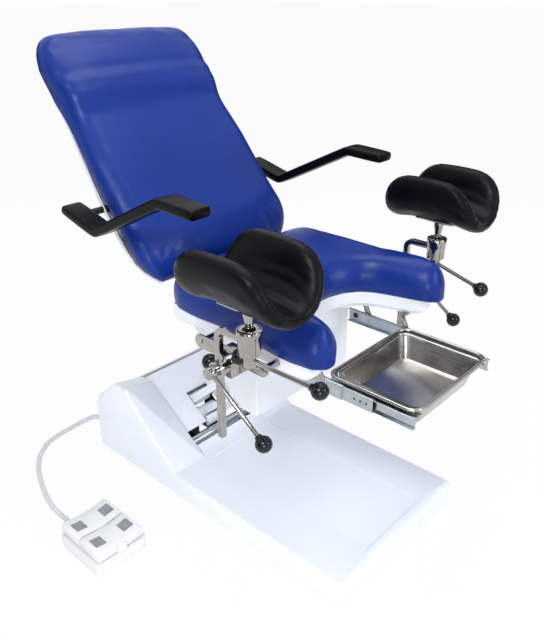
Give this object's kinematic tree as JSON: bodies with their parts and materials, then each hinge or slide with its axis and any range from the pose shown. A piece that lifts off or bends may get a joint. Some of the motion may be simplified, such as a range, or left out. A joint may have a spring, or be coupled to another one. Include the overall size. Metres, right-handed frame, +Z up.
{
  "type": "electric gynaecological examination chair",
  "caption": "White-based examination chair with a cut-out blue seat, reclining back, folding armrests, padded knee rests, pull-out tray and foot switch.",
  "frame": {"origin": "centre of the base's underside on the floor", "axes": "+Z up, -Y towards the foot end with the tray and knee rests, +Y towards the back, X across the seat"},
  "size_m": [1.2098, 1.3862, 1.4001],
  "materials": {
    "white_plastic": "glossy moulded",
    "blue_upholstery": "smooth artificial leather",
    "black_foam": "fine-grained moulded skin",
    "black_steel": "powder coated",
    "chrome": "polished",
    "zinc": "zinc plated",
    "stainless": "bright rolled",
    "black_ball": "smooth"
  },
  "bodies": {
    "base": {"base_frame": "black_steel", "base_cover": "white_plastic", "slot_cover_upper": "white_plastic", "slot_cover_lower": "white_plastic", "slot_tube": "zinc", "lift_pins_low": "chrome", "foot_switch_housing": "white_plastic", "hose_gland": "white_plastic", "hose": "white_plastic", "cable": "white_plastic"},
    "lift_arm": {"lift_arm": "zinc"},
    "lift_link": {"lift_link": "zinc"},
    "carriage": {"carriage_frame": "black_steel", "lift_pins_high": "chrome", "belly_cover": "white_plastic", "seat_shell": "white_plastic", "seat_cushion": "blue_upholstery", "back_hinge_pins": "chrome", "rail_left": "chrome", "rail_right": "chrome", "slide_outer_left": "zinc", "slide_outer_right": "zinc", "slide_hangers": "zinc"},
    "back": {"back_frame": "black_steel", "back_shell": "white_plastic", "back_cushion": "blue_upholstery"},
    "armrest_left": {"armrest_left": "black_foam"},
    "armrest_right": {"armrest_right": "black_foam"},
    "slide_middle": {"slide_middle_left": "zinc", "slide_middle_right": "zinc"},
    "tray": {"tray": "stainless", "slide_inner_left": "zinc", "slide_inner_right": "zinc"},
    "pedal_rear": {"pedal_rear": "white_plastic"},
    "pedal_front": {"pedal_front": "white_plastic"},
    "clamp_left": {"clamp_left": "chrome"},
    "hub_left": {"hub_left": "chrome"},
    "post_left": {"post_left": "chrome"},
    "ball_stem_left": {"ball_stem_left": "chrome"},
    "saddle_left": {"saddle_strap_left": "chrome", "saddle_left": "black_foam"},
    "ball_lever_left": {"ball_lever_left": "chrome"},
    "clamp_lever_left": {"clamp_lever_left": "chrome"},
    "post_knob_left": {"post_knob_left": "chrome"},
    "rail_knob_left": {"rail_knob_left": "chrome"},
    "clamp_right": {"clamp_right": "chrome"},
    "hub_right": {"hub_right": "chrome"},
    "post_right": {"post_right": "chrome"},
    "ball_stem_right": {"ball_stem_right": "chrome"},
    "saddle_right": {"saddle_strap_right": "chrome", "saddle_right": "black_foam"},
    "ball_lever_right": {"ball_lever_right": "chrome"},
    "clamp_lever_right": {"clamp_lever_right": "chrome"},
    "post_knob_right": {"post_knob_right": "chrome"},
    "rail_knob_right": {"rail_knob_right": "chrome"}
  },
  "joints": [
    {"name": "seat_lift", "type": "hinge", "parent": "base", "child": "lift_arm", "pos_m": [0, 0.345, 0.15], "axis": [-1, 0, 0], "range_deg": [-16, 17]},
    {"name": "link_swing", "type": "hinge", "parent": "base", "child": "lift_link", "pos_m": [0, 0.3, 0.11], "axis": [-1, 0, 0], "range_deg": [-16, 17]},
    {"name": "seat_level", "type": "hinge", "parent": "lift_arm", "child": "carriage", "pos_m": [0, -0.04441, 0.50062], "axis": [-1, 0, 0], "range_deg": [-17, 16]},
    {"name": "back_recline", "type": "hinge", "parent": "carriage", "child": "back", "pos_m": [0, 0.167, 0.726], "axis": [1, 0, 0], "range_deg": [-50, 10]},
    {"name": "armrest_left_fold", "type": "hinge", "parent": "back", "child": "armrest_left", "pos_m": [0, 0.36006, 0.94519], "axis": [-1, 0, 0], "range_deg": [0, 100]},
    {"name": "armrest_right_fold", "type": "hinge", "parent": "back", "child": "armrest_right", "pos_m": [0, 0.36006, 0.94519], "axis": [-1, 0, 0], "range_deg": [0, 100]},
    {"name": "tray_pull", "type": "slide", "parent": "carriage", "child": "tray", "axis": [0, 1, 0], "range_m": [0, 0.2]},
    {"name": "slide_follow", "type": "slide", "parent": "carriage", "child": "slide_middle", "axis": [0, 1, 0], "range_m": [0, 0.1]},
    {"name": "clamp_slide_left", "type": "slide", "parent": "carriage", "child": "clamp_left", "axis": [0, -1, 0], "range_m": [-0.04, 0.04]},
    {"name": "post_tilt_left", "type": "hinge", "parent": "clamp_left", "child": "hub_left", "pos_m": [-0.42, -0.241, 0.69], "axis": [1, 0, 0], "range_deg": [-12, 18]},
    {"name": "post_height_left", "type": "slide", "parent": "hub_left", "child": "post_left", "axis": [0, 0, 1], "range_m": [-0.05, 0.15]},
    {"name": "saddle_tilt_left", "type": "hinge", "parent": "post_left", "child": "ball_stem_left", "pos_m": [-0.42, -0.345, 0.812], "axis": [1, 0, 0], "range_deg": [-12, 12]},
    {"name": "saddle_turn_left", "type": "hinge", "parent": "ball_stem_left", "child": "saddle_left", "pos_m": [-0.42, -0.345, 0.88], "axis": [0, 0, -1], "range_deg": [-30, 30]},
    {"name": "ball_lever_turn_left", "type": "hinge", "parent": "post_left", "child": "ball_lever_left", "pos_m": [-0.42, -0.345, 0.75], "axis": [0, 0, -1], "range_deg": [-20, 60]},
    {"name": "clamp_lever_turn_left", "type": "hinge", "parent": "hub_left", "child": "clamp_lever_left", "pos_m": [-0.42, -0.241, 0.69], "axis": [1, 0, 0], "range_deg": [-30, 30]},
    {"name": "post_knob_turn_left", "type": "hinge", "parent": "clamp_left", "child": "post_knob_left", "pos_m": [-0.389, -0.241, 0.69], "axis": [0, -0.766, 0.6428], "range_deg": [-90, 90]},
    {"name": "rail_knob_turn_left", "type": "hinge", "parent": "clamp_left", "child": "rail_knob_left", "pos_m": [-0.389, -0.241, 0.667], "axis": [0, 1, 0], "range_deg": [-90, 90]},
    {"name": "clamp_slide_right", "type": "slide", "parent": "carriage", "child": "clamp_right", "axis": [0, -1, 0], "range_m": [-0.04, 0.04]},
    {"name": "post_tilt_right", "type": "hinge", "parent": "clamp_right", "child": "hub_right", "pos_m": [0.42, -0.241, 0.69], "axis": [1, 0, 0], "range_deg": [-12, 18]},
    {"name": "post_height_right", "type": "slide", "parent": "hub_right", "child": "post_right", "axis": [0, 0, 1], "range_m": [-0.05, 0.15]},
    {"name": "saddle_tilt_right", "type": "hinge", "parent": "post_right", "child": "ball_stem_right", "pos_m": [0.42, -0.345, 0.812], "axis": [1, 0, 0], "range_deg": [-12, 12]},
    {"name": "saddle_turn_right", "type": "hinge", "parent": "ball_stem_right", "child": "saddle_right", "pos_m": [0.42, -0.345, 0.88], "axis": [0, 0, 1], "range_deg": [-30, 30]},
    {"name": "ball_lever_turn_right", "type": "hinge", "parent": "post_right", "child": "ball_lever_right", "pos_m": [0.42, -0.345, 0.75], "axis": [0, 0, 1], "range_deg": [-20, 60]},
    {"name": "clamp_lever_turn_right", "type": "hinge", "parent": "hub_right", "child": "clamp_lever_right", "pos_m": [0.42, -0.241, 0.69], "axis": [1, 0, 0], "range_deg": [-30, 30]},
    {"name": "post_knob_turn_right", "type": "hinge", "parent": "clamp_right", "child": "post_knob_right", "pos_m": [0.389, -0.241, 0.69], "axis": [0, -0.766, 0.6428], "range_deg": [-90, 90]},
    {"name": "rail_knob_turn_right", "type": "hinge", "parent": "clamp_right", "child": "rail_knob_right", "pos_m": [0.389, -0.241, 0.667], "axis": [0, 1, 0], "range_deg": [-90, 90]},
    {"name": "pedal_rear_rock", "type": "hinge", "parent": "base", "child": "pedal_rear", "pos_m": [-0.6, 0.161, 0.06], "axis": [0, 1, 0], "range_deg": [-3, 3], "stiffness_Nm_per_rad": 12},
    {"name": "pedal_front_rock", "type": "hinge", "parent": "base", "child": "pedal_front", "pos_m": [-0.6, 0.068, 0.06], "axis": [0, 1, 0], "range_deg": [-3, 3], "stiffness_Nm_per_rad": 12}
  ],
  "couplings": [
    {"joint": "link_swing", "follows": "seat_lift", "ratio": 1},
    {"joint": "seat_level", "follows": "seat_lift", "ratio": -1},
    {"joint": "slide_follow", "follows": "tray_pull", "ratio": 0.5}
  ]
}
